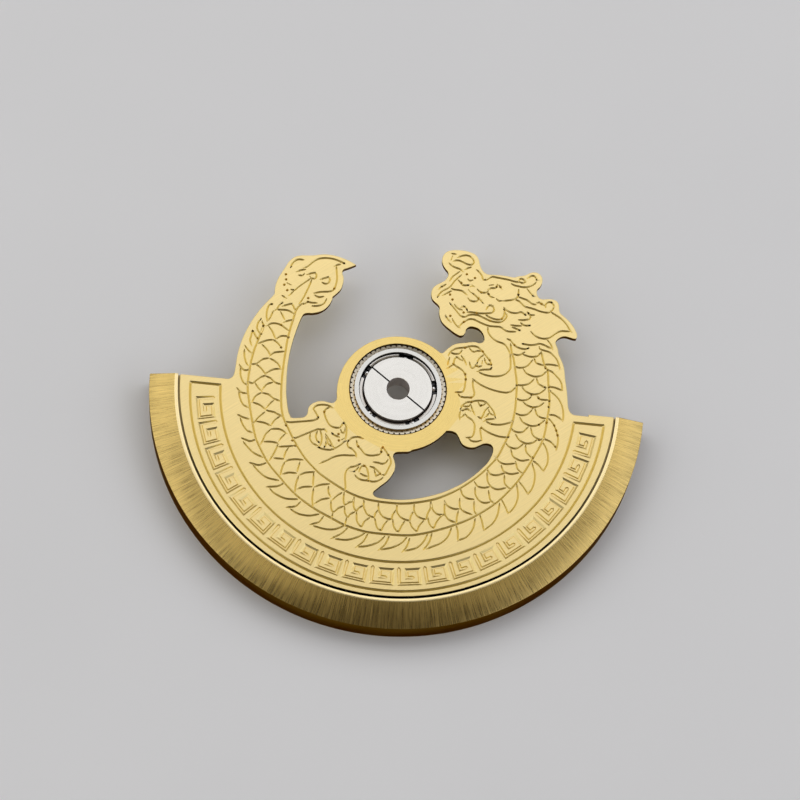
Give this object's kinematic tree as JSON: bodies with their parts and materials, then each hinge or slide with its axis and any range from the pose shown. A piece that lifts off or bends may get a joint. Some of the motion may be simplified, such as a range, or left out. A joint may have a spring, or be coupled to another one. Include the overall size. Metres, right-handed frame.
{
  "type": "automatic watch rotor",
  "caption": "Half-disc winding weight for an automatic watch, with an engraved dragon plate, bevelled rim weight and a toothed ball bearing at its hub.",
  "frame": {"origin": "on the bearing's axis, level with the top face of the plate", "axes": "+Z along the bearing's axis, away from the movement; the weight hangs towards -Y; +X along the straight end line of the half ring"},
  "size_m": [0.0266, 0.0218, 0.0019],
  "materials": {
    "plate_gold": "satin, gold plated, fine straight brushing",
    "rim_gold": "gold plated, radially brushed bevel",
    "tooth_steel": "matte",
    "race_steel": "polished",
    "cage_steel": "dark, polished",
    "ball_steel": "mirror"
  },
  "bodies": {
    "inner_race": {"inner_race_top": "race_steel", "inner_race_bottom": "race_steel"},
    "rotor": {"dragon_plate": "plate_gold", "rim_weight": "rim_gold", "toothed_ring": "tooth_steel", "race_ring": "race_steel"},
    "cage": {"ball_cage": "cage_steel"},
    "ball_body_1": {"ball_1": "ball_steel"},
    "ball_body_2": {"ball_2": "ball_steel"},
    "ball_body_3": {"ball_3": "ball_steel"},
    "ball_body_4": {"ball_4": "ball_steel"},
    "ball_body_5": {"ball_5": "ball_steel"}
  },
  "joints": [
    {"name": "rotor_spin", "type": "hinge", "parent": "inner_race", "child": "rotor", "pos_m": [0, 0, 0], "axis": [0, 0, 1], "continuous": true},
    {"name": "cage_spin", "type": "hinge", "parent": "inner_race", "child": "cage", "pos_m": [0, 0, 0], "axis": [0, 0, 1], "continuous": true},
    {"name": "ball_spin_1", "type": "hinge", "parent": "cage", "child": "ball_body_1", "pos_m": [0.00193, 0.00034, -0.0005], "axis": [0, 0, 1], "continuous": true},
    {"name": "ball_spin_2", "type": "hinge", "parent": "cage", "child": "ball_body_2", "pos_m": [0.00027, 0.00194, -0.0005], "axis": [0, 0, 1], "continuous": true},
    {"name": "ball_spin_3", "type": "hinge", "parent": "cage", "child": "ball_body_3", "pos_m": [-0.00176, 0.00086, -0.0005], "axis": [0, 0, 1], "continuous": true},
    {"name": "ball_spin_4", "type": "hinge", "parent": "cage", "child": "ball_body_4", "pos_m": [-0.00136, -0.00141, -0.0005], "axis": [0, 0, 1], "continuous": true},
    {"name": "ball_spin_5", "type": "hinge", "parent": "cage", "child": "ball_body_5", "pos_m": [0.00092, -0.00173, -0.0005], "axis": [0, 0, 1], "continuous": true}
  ],
  "couplings": [
    {"joint": "cage_spin", "follows": "rotor_spin", "ratio": 0.56378},
    {"joint": "ball_spin_1", "follows": "rotor_spin", "ratio": 3.8563},
    {"joint": "ball_spin_2", "follows": "rotor_spin", "ratio": 3.8563},
    {"joint": "ball_spin_3", "follows": "rotor_spin", "ratio": 3.8563},
    {"joint": "ball_spin_4", "follows": "rotor_spin", "ratio": 3.8563},
    {"joint": "ball_spin_5", "follows": "rotor_spin", "ratio": 3.8563}
  ]
}
